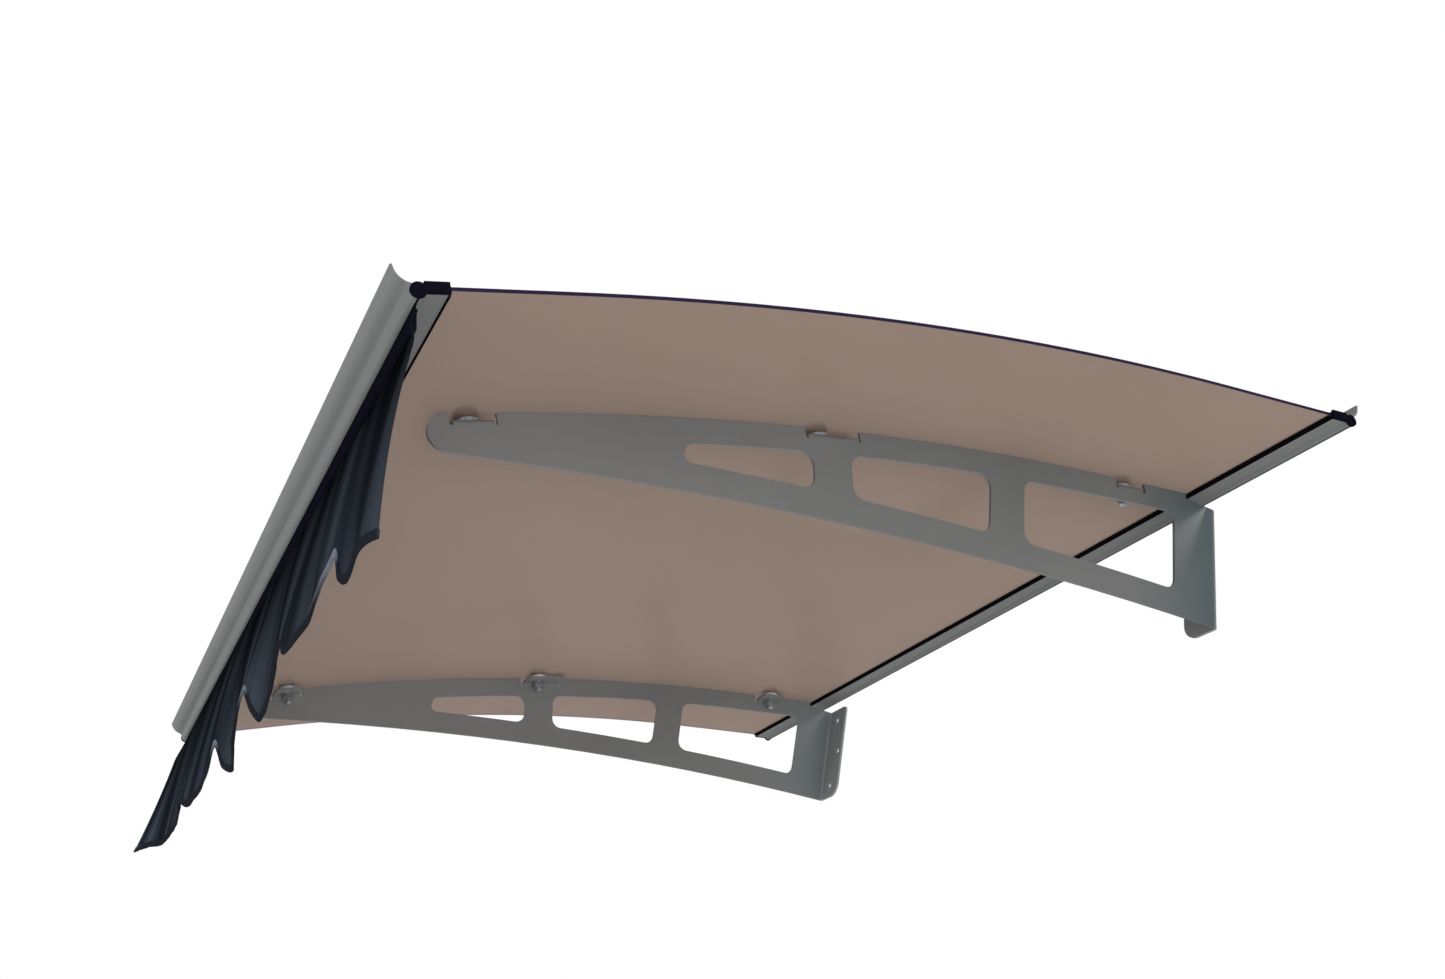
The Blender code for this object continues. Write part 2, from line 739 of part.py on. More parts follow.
def ring(inner, outer, bottom, top, edge=0.0):
    """A washer turned about Z, with chamfers of this size round its outside."""
    profile = [(inner, bottom), (outer, bottom), (outer, top), (inner, top)]
    if edge:
        profile[1:3] = [
            (outer - edge, bottom), (outer, bottom + edge), (outer, top - edge), (outer - edge, top),
        ]
    bm = bmesh.new()
    verts = [bm.verts.new((r, 0.0, z)) for r, z in profile]
    edges = loop_edges(bm, verts)
    bmesh.ops.spin(
        bm, geom=edges, cent=(0, 0, 0), axis=(0, 0, 1), angle=2 * math.pi,
        steps=RING_STEPS, use_merge=True, use_duplicate=False,
    )
    bmesh.ops.remove_doubles(bm, verts=bm.verts, dist=1e-6)
    return bm


def fixing_levels():
    """Heights along the bolt, square to the panel's underside, from the top down."""
    pad_bottom = PANEL_THICKNESS + GAP
    head_bottom = pad_bottom + PAD_THICKNESS + GAP
    tab_bottom = tab_levels()[0] - SHEET
    washer_top = tab_bottom - GAP
    nut_top = washer_top - WASHER_THICKNESS - GAP
    return pad_bottom, head_bottom, washer_top, nut_top


def make_bolt(name, material):
    """A round-headed bolt that runs through panel, spacer and tab."""
    head_bottom = fixing_levels()[1]
    tip = fixing_levels()[3] - NUT_HEIGHT - BOLT_TIP
    profile = [
        (0.0, tip), (BOLT_RADIUS - BOLT_POINT, tip), (BOLT_RADIUS, tip + BOLT_POINT),
        (BOLT_RADIUS, head_bottom), (HEAD_RADIUS, head_bottom), (HEAD_RADIUS, head_bottom + HEAD_EDGE),
    ]
    for i in range(1, 5):
        a = math.pi / 2 * i / 4
        rise = (HEAD_HEIGHT - HEAD_EDGE) * math.sin(a)
        profile.append((HEAD_RADIUS * math.cos(a) if i < 4 else 0.0, head_bottom + HEAD_EDGE + rise))
    return finish_object(name, turned(profile), material)


def make_nut(name, material):
    """A hexagon nut whose corners are turned down at both ends."""
    top = fixing_levels()[3]
    bottom = top - NUT_HEIGHT
    bm = bmesh.new()

    def hexagon(angle):
        return NUT_FLATS / 2 / math.cos((angle % (math.pi / 3)) - math.pi / 6)

    def round_end(angle):
        return NUT_FLATS / 2

    def bore(angle):
        return hole_radius()

    levels = (
        (bore, bottom), (round_end, bottom), (hexagon, bottom + NUT_CHAMFER),
        (hexagon, top - NUT_CHAMFER), (round_end, top), (bore, top),
    )
    loops = []
    for radius, z in levels:
        angles = [2 * math.pi * i / RING_STEPS for i in range(RING_STEPS)]
        loops.append([bm.verts.new((radius(a) * math.cos(a), radius(a) * math.sin(a), z)) for a in angles])
    for low, high in zip(loops, loops[1:] + loops[:1]):
        for i in range(RING_STEPS):
            j = (i + 1) % RING_STEPS
            bm.faces.new((low[i], low[j], high[j], high[i]))
    return finish_object(name, bm, material)


def make_fixings(zinc, rubber, plastic):
    pad_bottom, head_bottom, washer_top, nut_top = fixing_levels()
    tab_top = tab_levels()[0]
    for place in fixing_places():
        name = place[0]
        pieces = (
            make_bolt("bolt_" + name, zinc),
            finish_object(
                "sealing_pad_" + name,
                ring(hole_radius(), PAD_RADIUS, pad_bottom, pad_bottom + PAD_THICKNESS), rubber,
            ),
            finish_object(
                "spacer_" + name,
                ring(hole_radius(), SPACER_RADIUS, tab_top + GAP, tab_top + GAP + SPACER_HEIGHT, SPACER_EDGE),
                plastic,
            ),
            finish_object(
                "washer_" + name,
                ring(hole_radius(), WASHER_RADIUS, washer_top - WASHER_THICKNESS, washer_top), zinc,
            ),
            make_nut("nut_" + name, zinc),
        )
        for piece in pieces:
            place_on_panel(piece, place)


# Valance

def front_section(point):
    y, z, slope = panel_at(panel_length())
    return section_to_world(point, (y, z), slope, True)


def keder_path():
    """The strip's line: from the channel's centre out of its slot, then straight down."""
    centre = Vector(front_section((CHANNEL_U, CHANNEL_N)))
    out = Vector(front_section((CHANNEL_U, CHANNEL_N - KEDER_TAIL_OUT)))
    down = out + Vector((0.0, -KEDER_TAIL_DOWN))
    return centre, out, down


def make_keder(material):
    """A round bead in the channel with a thin tail that the cloth is sewn to."""
    centre, out, down = keder_path()
    half = KEDER_TAIL / 2
    direction = (out - centre).normalized()
    lean = math.atan2(abs(direction.x), -direction.y)
    shift = half * math.tan(lean / 2)
    leave = math.degrees(math.asin(half / KEDER_RADIUS))
    heading = angle_of(direction)
    outline = arc(centre, KEDER_RADIUS, heading + leave, heading + 360.0 - leave, 20)
    wall_side = out + Vector((half, shift))
    open_side = out + Vector((-half, -shift))
    tail = [open_side, down + Vector((-half, 0.0)), down + Vector((half, 0.0)), wall_side]
    outline += [tuple(p) for p in tail]
    length = PANEL_WIDTH / 2 - CAP_PLUG_LENGTH - 2 * GAP
    return finish_object("valance_keder", prism(outline, -length, length), material)


def cloth_width():
    return PANEL_WIDTH - 2 * CLOTH_END_MARGIN


def cloth_point(along, down, top_y, top_z):
    """A point of the hanging cloth, this far along the canopy and this share of the drop down.

    The hem is cut in round lobes, and each lobe swells towards the wall."""
    turn = 2 * math.pi * (along - FIRST_LOBE) / LOBE_PITCH
    hem = CLOTH_DROP - LOBE_HEIGHT * (1 - abs(math.cos(turn / 2)))
    fall = CLOTH_SEAM + (hem - CLOTH_SEAM) * down
    corner = max(0.0, (along - cloth_width() + CORNER_LENGTH) / CORNER_LENGTH)
    out = HEM_SET_IN + FOLD_DEPTH * (1 + math.cos(turn)) / 2 - CORNER_SWING * corner
    return cloth_width() / 2 - along, top_y + out * down**1.2, top_z - fall


def make_valance(material):
    """One sheet of cloth: flat where it is sewn to the keder, waved more and more below."""
    seam_end = keder_path()[2]
    top_y = seam_end.x - KEDER_TAIL / 2 - GAP - CLOTH_THICKNESS / 2
    top_z = seam_end.y + CLOTH_SEAM
    bm = bmesh.new()
    width = cloth_width()
    places = [width * i / CLOTH_COLUMNS for i in range(CLOTH_COLUMNS + 1)]
    rows = [[bm.verts.new((width / 2 - along, top_y, top_z)) for along in places]]
    for row in range(CLOTH_ROWS + 1):
        down = row / CLOTH_ROWS
        rows.append([bm.verts.new(cloth_point(along, down, top_y, top_z)) for along in places])
    for upper, lower in zip(rows, rows[1:]):
        for i in range(CLOTH_COLUMNS):
            bm.faces.new((upper[i], upper[i + 1], lower[i + 1], lower[i]))
    valance = finish_object("valance_cloth", bm, material, 80.0)
    thickness = valance.modifiers.new("Cloth", "SOLIDIFY")
    thickness.thickness = CLOTH_THICKNESS
    thickness.offset = 0.0
    thickness.use_even_offset = True
    return valance


def main():
    remove_everything()
    grey_paint = make_material("grey_paint", GREY_PAINT, 0.55)
    aluminium = make_material("aluminium", ALUMINIUM, 0.45, 0.6)
    bronze = make_material("bronze_polycarbonate", BRONZE_PANEL, 0.25)
    rubber = make_material("black_rubber", BLACK_RUBBER, 0.6)
    plastic = make_material("black_plastic", BLACK_RUBBER, 0.4)
    zinc = make_material("zinc_plate", ZINC, 0.4, 0.8)
    light_plastic = make_material("light_grey_plastic", LIGHT_PLASTIC, 0.6)
    cloth = make_material("navy_cloth", NAVY_CLOTH, 0.45)
    make_panel(bronze)
    make_edges(aluminium, rubber, plastic)
    make_bracket("bracket_left", -1, grey_paint)
    make_bracket("bracket_right", 1, grey_paint)
    make_fixings(zinc, rubber, light_plastic)
    make_keder(rubber)
    make_valance(cloth)


main()
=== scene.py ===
# Looks for the door canopy: finishes, the hanging valance, light and camera
import math

import bmesh
import bpy
from mathutils import Matrix, Vector, noise


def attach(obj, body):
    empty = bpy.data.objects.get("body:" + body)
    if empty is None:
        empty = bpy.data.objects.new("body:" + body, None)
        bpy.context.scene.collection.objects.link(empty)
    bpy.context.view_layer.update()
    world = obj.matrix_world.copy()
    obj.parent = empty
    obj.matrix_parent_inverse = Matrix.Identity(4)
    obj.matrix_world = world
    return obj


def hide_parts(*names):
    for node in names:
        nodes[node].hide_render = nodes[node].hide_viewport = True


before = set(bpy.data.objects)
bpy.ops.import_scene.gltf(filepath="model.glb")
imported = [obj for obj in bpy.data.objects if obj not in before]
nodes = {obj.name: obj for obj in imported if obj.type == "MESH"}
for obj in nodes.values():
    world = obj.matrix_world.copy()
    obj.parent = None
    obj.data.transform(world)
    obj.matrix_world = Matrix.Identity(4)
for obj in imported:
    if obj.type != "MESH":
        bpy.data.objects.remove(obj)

scene = bpy.context.scene
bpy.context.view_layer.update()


# Helpers for meshes

def addPiece(name, bm, material, smoothAngle=30.0):
    mesh = bpy.data.meshes.new(name)
    bm.to_mesh(mesh)
    bm.free()
    mesh.shade_smooth()
    mesh.set_sharp_from_angle(angle=math.radians(smoothAngle))
    piece = bpy.data.objects.new(name, mesh)
    scene.collection.objects.link(piece)
    mesh.materials.append(material)
    return piece


def pullAlongX(bm, length):
    geometry = bmesh.ops.extrude_face_region(bm, geom=bm.faces[:])["geom"]
    pulled = [item for item in geometry if isinstance(item, bmesh.types.BMVert)]
    bmesh.ops.translate(bm, verts=pulled, vec=(length, 0.0, 0.0))


def finishNode(name, material):
    mesh = nodes[name].data
    mesh.materials.clear()
    mesh.materials.append(material)


# Helpers for materials, most of which give the socket to link from

def newMaterial(name, roughness, metallic=0.0, specular=0.5):
    material = bpy.data.materials.new(name)
    material.use_nodes = True
    shader = material.node_tree.nodes["Principled BSDF"]
    shader.inputs["Roughness"].default_value = roughness
    shader.inputs["Metallic"].default_value = metallic
    shader.inputs["Specular IOR Level"].default_value = specular
    return material, material.node_tree, shader


def addNode(tree, kind, **values):
    node = tree.nodes.new(kind)
    for name, value in values.items():
        if name in node.inputs:
            node.inputs[name].default_value = value
        else:
            setattr(node, name, value)
    return node


def feed(tree, value, socket):
    if isinstance(value, bpy.types.NodeSocket):
        tree.links.new(value, socket)
    else:
        socket.default_value = value


def objectPlace(tree):
    return addNode(tree, "ShaderNodeTexCoord").outputs["Object"]


def axisOf(tree, place, axis):
    split = addNode(tree, "ShaderNodeSeparateXYZ")
    tree.links.new(place, split.inputs["Vector"])
    return split.outputs[axis]


def stretched(tree, place, scale):
    mapping = addNode(tree, "ShaderNodeMapping", Scale=scale)
    tree.links.new(place, mapping.inputs["Vector"])
    return mapping.outputs["Vector"]


def noisePattern(tree, place, scale, detail=3.0, roughness=0.55, distortion=0.0):
    texture = addNode(
        tree, "ShaderNodeTexNoise",
        Scale=scale, Detail=detail, Roughness=roughness, Distortion=distortion,
    )
    tree.links.new(place, texture.inputs["Vector"])
    return texture.outputs["Fac"]


def rangeOf(tree, value, low, high, fromLow=0.0, fromHigh=1.0):
    node = addNode(tree, "ShaderNodeMapRange")
    node.inputs["From Min"].default_value = fromLow
    node.inputs["From Max"].default_value = fromHigh
    node.inputs["To Min"].default_value = low
    node.inputs["To Max"].default_value = high
    tree.links.new(value, node.inputs["Value"])
    return node.outputs["Result"]


def calculate(tree, operation, first, second=0.0):
    node = addNode(tree, "ShaderNodeMath", operation=operation)
    feed(tree, first, node.inputs[0])
    feed(tree, second, node.inputs[1])
    return node.outputs["Value"]


def calculateVector(tree, operation, vector, other=(0.0, 0.0, 0.0), result="Vector"):
    node = addNode(tree, "ShaderNodeVectorMath", operation=operation)
    tree.links.new(vector, node.inputs[0])
    node.inputs[1].default_value = other
    return node.outputs[result]


def colourRamp(tree, factor, stops):
    ramp = addNode(tree, "ShaderNodeValToRGB")
    elements = ramp.color_ramp.elements
    while len(elements) < len(stops):
        elements.new(0.5)
    for element, (position, colour) in zip(elements, stops):
        element.position = position
        element.color = (*colour, 1.0)
    tree.links.new(factor, ramp.inputs["Fac"])
    return ramp.outputs["Color"]


def mixColours(tree, factor, first, second, blend="MIX"):
    mix = addNode(tree, "ShaderNodeMix", data_type="RGBA", blend_type=blend)
    feed(tree, factor, mix.inputs[0])
    feed(tree, first, mix.inputs[6])  # inputs 6 and 7 are its two colours
    feed(tree, second, mix.inputs[7])
    return mix.outputs[2]


def blendTones(tree, pattern, low, high, between=(0.3, 0.7)):
    return colourRamp(tree, pattern, [(between[0], low), (between[1], high)])


def scaled(colour, share):
    return tuple(share * c for c in colour)


def shadeColour(tree, colour, shade):
    return mixColours(tree, 1.0, colour, shade, "MULTIPLY")


def varyRoughness(tree, shader, pattern, middle, spread):
    varied = rangeOf(tree, pattern, middle - spread, middle + spread)
    tree.links.new(varied, shader.inputs["Roughness"])


def addBump(tree, shader, height, distance, strength=1.0):
    bump = addNode(tree, "ShaderNodeBump", Strength=strength, Distance=distance)
    tree.links.new(height, bump.inputs["Height"])
    tree.links.new(bump.outputs["Normal"], shader.inputs["Normal"])


# Powder coat on the brackets, with painted shade and painted light along them from the nose to
# the wall.
# The left and right brackets get their own copies, each painted for the light it gets: the
# right one painted much darker near the wall, and both painted lighter on the flange.
# Each shade stands at a distance from the wall, along Y.

paint = {
    # the right bracket's copy: painted shade near the wall, painted light on the flange
    "right": {
        "nose": (0.156, 0.158, 0.156),
        "body": (0.142, 0.146, 0.143),
        "rear": (0.124, 0.130, 0.127),
        "wall": (0.046, 0.068, 0.073),
        "paintedLightFlange": (0.190, 0.205, 0.205),
    },
    # the left bracket's copy: painted lighter near the wall and on the flange, for the light it
    # gets
    "left": {
        "nose": (0.168, 0.170, 0.168),
        "body": (0.144, 0.148, 0.145),
        "rear": (0.138, 0.143, 0.142),
        "wall": (0.128, 0.149, 0.157),
        "paintedLightFlange": (0.250, 0.268, 0.275),
    },
    "reach": 0.82,
    "shades": (
        (-0.82, "nose"), (-0.50, "body"), (-0.30, "rear"), (-0.11, "rear"),
        (-0.013, "wall"), (-0.0045, "wall"), (-0.0028, "paintedLightFlange"),
    ),
    "mottle": 0.05,
    "mottleScale": 9.0,
    "roughness": 0.46,
    "roughnessSpread": 0.06,
    "specular": 0.4,
    "grainScale": 900.0,
    "grainDepth": 0.00006,
    # where the painted highlight's fan starts, and which way it points
    "highlightFrom": (0.0, -0.012, -0.030),  # the fan's tip, and which way it points
    "highlightWay": (0.0, -0.545, -0.838),
    "highlightAngle": 16.0,
    "highlightLength": 0.11,
    "highlightColour": (0.190, 0.204, 0.218),
}


# A painted highlight: a soft fan of lighter colour that spreads down the plate from its top
# corner at the wall

def highlightFanMask(tree, place):
    flat = calculateVector(tree, "MULTIPLY", place, (0.0, 1.0, 1.0))
    away = calculateVector(tree, "SUBTRACT", flat, paint["highlightFrom"])
    unit = calculateVector(tree, "NORMALIZE", away)
    along = calculateVector(tree, "DOT_PRODUCT", unit, paint["highlightWay"], "Value")
    reach = calculateVector(tree, "LENGTH", away, result="Value")
    across = rangeOf(tree, along, 0.0, 1.0, math.cos(math.radians(paint["highlightAngle"])), 1.0)
    fade = rangeOf(tree, reach, 1.0, 0.0, 0.0, paint["highlightLength"])
    return calculate(tree, "MULTIPLY", across, fade)


def makePaint(side):
    material, tree, shader = newMaterial(
        "greyPowderCoatPaintedLightAndShade_" + side, paint["roughness"], specular=paint["specular"],
    )
    place = objectPlace(tree)
    outward = rangeOf(tree, axisOf(tree, place, "Y"), 0.0, 1.0, -paint["reach"], 0.0)
    stops = [(1.0 + y / paint["reach"], paint[side][shade]) for y, shade in paint["shades"]]
    plain = colourRamp(tree, outward, stops)
    # the painted highlight, laid over the painted shade
    withPaintedHighlight = mixColours(tree, highlightFanMask(tree, place), plain, (*paint["highlightColour"], 1.0))
    clouds = noisePattern(tree, place, paint["mottleScale"])
    shade = rangeOf(tree, clouds, 1.0 - paint["mottle"], 1.0 + paint["mottle"], 0.3, 0.7)
    tree.links.new(shadeColour(tree, withPaintedHighlight, shade), shader.inputs["Base Color"])
    grain = noisePattern(tree, place, paint["grainScale"], detail=1.0)
    addBump(tree, shader, grain, paint["grainDepth"])
    varyRoughness(tree, shader, clouds, paint["roughness"], paint["roughnessSpread"])
    return material


# Extruded aluminium, with faint die lines along X

aluminium = {
    "light": (0.166, 0.168, 0.169),
    "dark": (0.147, 0.150, 0.151),
    "roughness": 0.61,
    "roughnessSpread": 0.07,
    "specular": 0.15,
    "lineScale": 260.0,
    "lineStretch": (0.004, 1.0, 1.0),
    "lineDepth": 0.00004,
    "lineContrast": (0.35, 0.65),
    "cloudScale": 14.0,
}


def makeAluminium():
    material, tree, shader = newMaterial(
        "extrudedAluminium", aluminium["roughness"], specular=aluminium["specular"],
    )
    place = objectPlace(tree)
    drawn = stretched(tree, place, aluminium["lineStretch"])
    lines = noisePattern(tree, drawn, aluminium["lineScale"], 2.0, 0.6)
    light, contrast = aluminium["light"], aluminium["lineContrast"]
    colour = blendTones(tree, lines, aluminium["dark"], light, contrast)
    tree.links.new(colour, shader.inputs["Base Color"])
    addBump(tree, shader, lines, aluminium["lineDepth"])
    clouds = noisePattern(tree, place, aluminium["cloudScale"])
    varyRoughness(tree, shader, clouds, aluminium["roughness"], aluminium["roughnessSpread"])
    return material


# Tinted polycarbonate: light comes through it, and its cut ends are dark

panel = {
    "tint": (0.367, 0.279, 0.232),
    "tintSpread": 0.015,
    "cloudScale": 5.0,
    "cutEdge": (0.014, 0.010, 0.040),
    "edgeFrom": 0.5998,  # how far from the middle the cut end starts, along X
    "roughness": 0.30,
    "specular": 0.25,
    "clearness": 0.45,
    "ior": 1.06,
    "rippleScale": 40.0,
    "ripple": 0.000015,
}


def makePanelMaterial():
    material, tree, shader = newMaterial(
        "bronzePolycarbonate", panel["roughness"], specular=panel["specular"],
    )
    place = objectPlace(tree)
    low = scaled(panel["tint"], 1.0 - panel["tintSpread"])
    high = scaled(panel["tint"], 1.0 + panel["tintSpread"])
    clouds = noisePattern(tree, place, panel["cloudScale"])
    tint = blendTones(tree, clouds, low, high)
    fromMiddle = calculate(tree, "ABSOLUTE", axisOf(tree, place, "X"))
    atEdge = calculate(tree, "GREATER_THAN", fromMiddle, panel["edgeFrom"])
    colour = mixColours(tree, atEdge, tint, (*panel["cutEdge"], 1.0))
    tree.links.new(colour, shader.inputs["Base Color"])
    addBump(tree, shader, noisePattern(tree, place, panel["rippleScale"]), panel["ripple"])
    shader.inputs["Transmission Weight"].default_value = panel["clearness"]
    shader.inputs["IOR"].default_value = panel["ior"]
    return material


# Black rubber and moulded plastic, both without shine

dark = {
    "rubber": {"colour": (0.0025, 0.0025, 0.003), "roughness": 0.6, "speckle": 300.0},
    "plastic": {"colour": (0.0045, 0.0042, 0.0085), "roughness": 0.4, "speckle": 500.0},
    "shades": (0.8, 1.3),
    "grain": 0.00005,
}


def makeDark(name, finish):
    material, tree, shader = newMaterial(name, finish["roughness"], specular=0.0)
    speckle = noisePattern(tree, objectPlace(tree), finish["speckle"])
    low, high = (scaled(finish["colour"], share) for share in dark["shades"])
    colour = blendTones(tree, speckle, low, high)
    tree.links.new(colour, shader.inputs["Base Color"])
    addBump(tree, shader, speckle, dark["grain"])
    return material


# Speckled zinc plate on bolts, washers and nuts, and the grey nylon of the spacers.
# The spacers come in two copies: the left ones painted lighter against the shade they sit in
# under the panel, and the right ones darker, as they stand in lamp light.

hardware = {
    "zinc": {
        "light": (0.44, 0.46, 0.48), "dark": (0.13, 0.14, 0.15),
        "roughness": 0.35, "metallic": 0.6,
    },
    "nut": {
        "light": (0.26, 0.27, 0.285), "dark": (0.06, 0.065, 0.07),
        "roughness": 0.4, "metallic": 0.3,
    },
    # painted lighter: painted light for the shade under the panel on this side
    "spacerPaintedLighterLeft": {
        "light": (0.80, 0.83, 0.87), "dark": (0.24, 0.25, 0.27),
        "roughness": 0.5, "metallic": 0.0,
    },
    # painted darker, as these stand in lamp light
    "spacerPaintedDarkerRight": {
        "light": (0.38, 0.40, 0.43), "dark": (0.10, 0.11, 0.12),
        "roughness": 0.5, "metallic": 0.0,
    },
    "speckle": 900.0,
    "contrast": (0.38, 0.62),
    "grain": 0.0001,
}


def makeSpeckled(name, finish):
    material, tree, shader = newMaterial(name, finish["roughness"], finish["metallic"])
    speckle = noisePattern(tree, objectPlace(tree), hardware["speckle"], 4.0, 0.7)
    colour = blendTones(tree, speckle, finish["dark"], finish["light"], hardware["contrast"])
    tree.links.new(colour, shader.inputs["Base Color"])
    addBump(tree, shader, speckle, hardware["grain"])
    return material


# Coated navy cloth: painted highlights in streaks down the folds, painted shade up under the
# profile, and a fine weave, on its own UV map

cloth = {
    "colour": (0.009, 0.010, 0.015),
    "paintedHighlight": (0.039, 0.048, 0.062),
    "foldHighlights": (19.0, 2.2, 1.0),
    "foldHighlightBend": 0.25,
    "foldHighlightContrast": (0.40, 0.70),
    "roughness": 0.80,
    "weaveScale": 222.93,
    "weaveDepth": 0.00005,
    "weaveStrength": 0.4,
    # painted shade: how dark the cloth is painted up under the profile, where the profile
    # shades it
    "paintedTopShade": 0.22,  # how dark the cloth is up under the profile
    "shadeFrom": -0.07,
    "shadeTo": 0.06,
}


def makeClothMaterial():
    material, tree, shader = newMaterial("coatedNavyCloth", cloth["roughness"], specular=0.0)
    uv = addNode(tree, "ShaderNodeUVMap", uv_map="cloth").outputs["UV"]
    # painted highlights: lighter streaks down the folds, standing in for their sheen
    drawn = stretched(tree, uv, cloth["foldHighlights"])
    foldHighlights = noisePattern(tree, drawn, 1.0, 2.0, 0.5, cloth["foldHighlightBend"])
    colour = blendTones(tree, foldHighlights, cloth["colour"], cloth["paintedHighlight"], cloth["foldHighlightContrast"])
    height = axisOf(tree, uv, "Y")
    # painted shade, darker towards the top under the profile
    shade = rangeOf(tree, height, 1.0, cloth["paintedTopShade"], cloth["shadeFrom"], cloth["shadeTo"])
    tree.links.new(shadeColour(tree, colour, shade), shader.inputs["Base Color"])
    threads = []
    for direction in ("X", "Y"):
        wave = addNode(
            tree, "ShaderNodeTexWave", Scale=cloth["weaveScale"], bands_direction=direction,
        )
        tree.links.new(uv, wave.inputs["Vector"])
        threads.append(wave.outputs["Fac"])
    weave = calculate(tree, "MAXIMUM", *threads)
    addBump(tree, shader, weave, cloth["weaveDepth"], cloth["weaveStrength"])
    return material


materials = {
    # one painted copy of the powder coat for each bracket, for the light each one gets
    "paint_left": makePaint("left"),
    "paint_right": makePaint("right"),
    "aluminium": makeAluminium(),
    "panel": makePanelMaterial(),
    "rubber": makeDark("blackRubber", dark["rubber"]),
    "plastic": makeDark("blackPlastic", dark["plastic"]),
    "zinc": makeSpeckled("zincPlate", hardware["zinc"]),
    "nut": makeSpeckled("darkZinc", hardware["nut"]),
    # the spacers' two copies, painted lighter on the left and darker on the right for the light
    # each side gets
    "spacer_left": makeSpeckled("greyNylonPaintedLighter_left", hardware["spacerPaintedLighterLeft"]),
    "spacer_right": makeSpeckled("greyNylonPaintedDarker_right", hardware["spacerPaintedDarkerRight"]),
    "cloth": makeClothMaterial(),
}
print("materials made")

finishNode("canopy_panel", materials["panel"])
for edge in ("wall", "front"):
    finishNode(edge + "_profile", materials["aluminium"])
    finishNode(edge + "_seal", materials["rubber"])
    finishNode(edge + "_end_cap_left", materials["plastic"])
    finishNode(edge + "_end_cap_right", materials["plastic"])
for side in ("left", "right"):
    finishNode("bracket_" + side, materials["paint_" + side])
    for place in ("rear", "middle", "front"):
        tail = side + "_" + place
        finishNode("bolt_" + tail, materials["zinc"])
        finishNode("washer_" + tail, materials["zinc"])
        finishNode("nut_" + tail, materials["nut"])
        finishNode("spacer_" + tail, materials["spacer_" + side])
        finishNode("sealing_pad_" + tail, materials["rubber"])
finishNode("valance_keder", materials["rubber"])
finishNode("valance_cloth", materials["cloth"])
print("frame finished")


# Valance: one sheet sewn flat to the keder, whose hem waves and rises and falls.
# The hem is given in millimetres as x, y and z of the points it passes through.

valance = {
    "seamY": -0.87117,
    "top": -0.29294,
    "seam": 0.012,
    "seamRows": 2,
    "thickness": 0.0011,
    "swing": 2.05,  # how late the cloth leaves the seam's plane on its way to the hem
    "sway": 0.0055,
    "swayOver": 0.10,
    "columns": 300,
    "rows": 30,
    "flatDrop": 0.18,
    "crease": 0.0011,
    "creaseLength": 0.021,
    "creaseRun": 0.8,
    "creaseGrowth": 1.2,
    "creaseSeed": 3.7,
    "hem": (
        (594, -850, -463), (565, -855, -461), (528, -853, -470), (508, -856, -461),
        (482, -860, -435), (455, -860, -441), (420, -858, -445), (380, -855, -452),
        (350, -862, -466), (326, -864, -451), (306, -863, -455), (255, -855, -463),
        (198, -851, -475), (178, -859, -462), (151, -868, -440), (95, -862, -458),
        (50, -853, -467), (10, -846, -472), (-12, -853, -465), (-39, -865, -440),
        (-95, -861, -463), (-170, -864, -472), (-225, -870, -459), (-310, -862, -463),
        (-400, -865, -468), (-500, -876, -456), (-594, -886, -447),
    ),
}
hemPoints = [Vector(point) / 1000.0 for point in valance["hem"]]
halfWidth = hemPoints[0].x


# A smooth cubic through the hem's points, measured along X

def hemPoint(x):
    last = len(hemPoints) - 2
    i = next((i for i in range(last) if hemPoints[i + 1].x <= x), last)
    start, end = hemPoints[i], hemPoints[i + 1]
    before = hemPoints[i - 1] if i else start * 2.0 - end
    after = hemPoints[i + 2] if i < last else end * 2.0 - start
    share = (x - start.x) / (end.x - start.x)
    leave = (end - before) * ((end.x - start.x) / (end.x - before.x))
    arrive = (after - start) * ((end.x - start.x) / (after.x - start.x))
    square, cube = share * share, share * share * share
    point = start * (2 * cube - 3 * square + 1) + leave * (cube - 2 * square + share)
    return point + end * (3 * square - 2 * cube) + arrive * (cube - square)


# Where the cloth hangs, down from 0 at the seam's lower edge to 1 at the hem

def clothPoint(x, down):
    hem = hemPoint(x)
    seamY = valance["seamY"]
    seamZ = valance["top"] - valance["seam"]
    if down < 0.0:
        return Vector((x, seamY, seamZ - down * valance["seam"]))
    sway = valance["sway"] * x / halfWidth
    y = seamY + sway * (1.0 - max(0.0, 1.0 - down / valance["swayOver"]) ** 2)
    y += (hem.y - seamY - sway) * down ** valance["swing"]
    place = (x / valance["creaseLength"], down * valance["creaseRun"], valance["creaseSeed"])
    growth = math.sin(math.pi * min(1.0, down * valance["creaseGrowth"]) / 2)
    y += noise.noise(Vector(place)) * valance["crease"] * growth
    return Vector((x, y, seamZ + (hem.z - seamZ) * down))


def makeValance():
    columns, rows, seamRows = valance["columns"], valance["rows"], valance["seamRows"]
    bm = bmesh.new()
    bmesh.ops.create_grid(bm, x_segments=columns, y_segments=rows, size=1.0)
    flat = bm.loops.layers.uv.new("cloth")
    for face in bm.faces:
        for loop in face.loops:
            corner = loop.vert.co
            loop[flat].uv = (corner.x * halfWidth, corner.y * valance["flatDrop"] / 2)
    for vert in bm.verts:
        row = round((1.0 - vert.co.y) / 2 * rows)
        down = (row - seamRows) / (rows - seamRows) if row >= seamRows else row / seamRows - 1.0
        vert.co = clothPoint(vert.co.x * halfWidth, down)
    bmesh.ops.recalc_face_normals(bm, faces=bm.faces)
    piece = addPiece("valance_drape", bm, materials["cloth"], smoothAngle=60.0)
    wall = piece.modifiers.new("Thickness", "SOLIDIFY")
    wall.thickness = valance["thickness"]
    wall.offset = 0.0
    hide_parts("valance_cloth")
    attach(piece, "root")
    return piece


